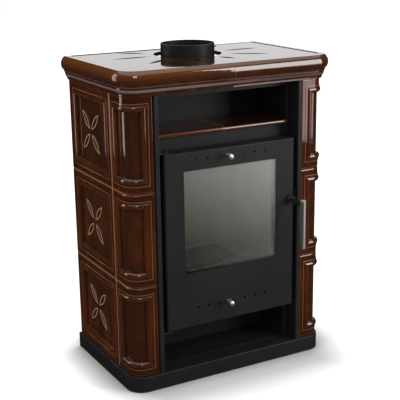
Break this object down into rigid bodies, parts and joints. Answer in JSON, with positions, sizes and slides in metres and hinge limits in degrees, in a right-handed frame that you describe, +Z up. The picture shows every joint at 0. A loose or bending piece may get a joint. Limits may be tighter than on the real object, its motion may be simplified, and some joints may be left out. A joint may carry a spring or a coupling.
{
  "type": "tiled stove",
  "caption": "Freestanding wood stove in a coat of brown glazed tiles with a ceramic cornice, a glazed swinging door, two air sliders, a warming niche and a round flue collar.",
  "frame": {"origin": "on the floor, at the centre of the plinth's outline", "axes": "+X to the stove's right side seen from the front, +Y to its back, +Z up along the flue collar"},
  "size_m": [0.641, 0.4477, 0.893],
  "materials": {
    "tile_glaze": "glossy dark brown glaze",
    "black_steel": "satin heat-proof black",
    "galvanised_steel": "zinc plated sheet",
    "bright_steel": "brushed",
    "chromed_metal": "polished",
    "firebox_steel": "matt black",
    "cast_grate": "as cast",
    "firebrick": "pale vermiculite board",
    "fire_glass": "clear heat-proof glass",
    "rope_seal": "woven glass rope"
  },
  "bodies": {
    "carcass": {"ash_pan": "galvanised_steel", "baffle_plate": "firebrick", "base_plate": "galvanised_steel", "collar_bolts": "bright_steel", "corner_tile_left_1": "tile_glaze", "corner_tile_left_2": "tile_glaze", "corner_tile_left_3": "tile_glaze", "corner_tile_right_1": "tile_glaze", "corner_tile_right_2": "tile_glaze", "corner_tile_right_3": "tile_glaze", "cornice_left": "tile_glaze", "cornice_right": "tile_glaze", "firebox_body": "firebox_steel", "firebrick_back": "firebrick", "firebrick_floor": "firebrick", "firebrick_left": "firebrick", "firebrick_right": "firebrick", "flue_collar": "black_steel", "front_plate": "black_steel", "grate": "cast_grate", "hinge_brackets": "black_steel", "hinge_pins": "black_steel", "jamb_left": "black_steel", "jamb_right": "black_steel", "latch_keeper": "black_steel", "panel_tile_left_1": "tile_glaze", "panel_tile_left_2": "tile_glaze", "panel_tile_left_3": "tile_glaze", "panel_tile_right_1": "tile_glaze", "panel_tile_right_2": "tile_glaze", "panel_tile_right_3": "tile_glaze", "plinth": "black_steel", "rear_panel": "black_steel", "rear_screws": "bright_steel", "shelf_tile_left": "tile_glaze", "shelf_tile_right": "tile_glaze", "side_casing_left": "galvanised_steel", "side_casing_right": "galvanised_steel", "storage_niche_liner": "black_steel", "tile_clips": "galvanised_steel", "top_plate": "black_steel", "warming_niche_liner": "black_steel"},
    "door": {"door_panel": "black_steel", "door_inner_frame": "galvanised_steel", "door_glass": "fire_glass", "glass_gasket": "rope_seal", "glass_retainers": "black_steel", "air_wash_strip": "black_steel", "door_seal": "rope_seal", "door_hinge_blocks": "bright_steel", "slider_guides": "galvanised_steel", "latch_bush": "bright_steel"},
    "handle": {"handle_arm": "black_steel", "handle_grip": "bright_steel", "latch_shaft": "bright_steel"},
    "slider_upper": {"air_slider_upper": "galvanised_steel", "slider_knob_upper": "chromed_metal"},
    "slider_lower": {"air_slider_lower": "galvanised_steel", "slider_knob_lower": "chromed_metal"}
  },
  "joints": [
    {"name": "door_hinge", "type": "hinge", "parent": "carcass", "child": "door", "pos_m": [-0.19, -0.176, 0.4], "axis": [0, 0, -1], "range_deg": [0, 110]},
    {"name": "handle_turn", "type": "hinge", "parent": "door", "child": "handle", "pos_m": [0.187, -0.1868, 0.469], "axis": [0, 1, 0], "range_deg": [0, 60]},
    {"name": "upper_air_slide", "type": "slide", "parent": "door", "child": "slider_upper", "axis": [1, 0, 0], "range_m": [0, 0.0163]},
    {"name": "lower_air_slide", "type": "slide", "parent": "door", "child": "slider_lower", "axis": [1, 0, 0], "range_m": [0, 0.0163]}
  ]
}
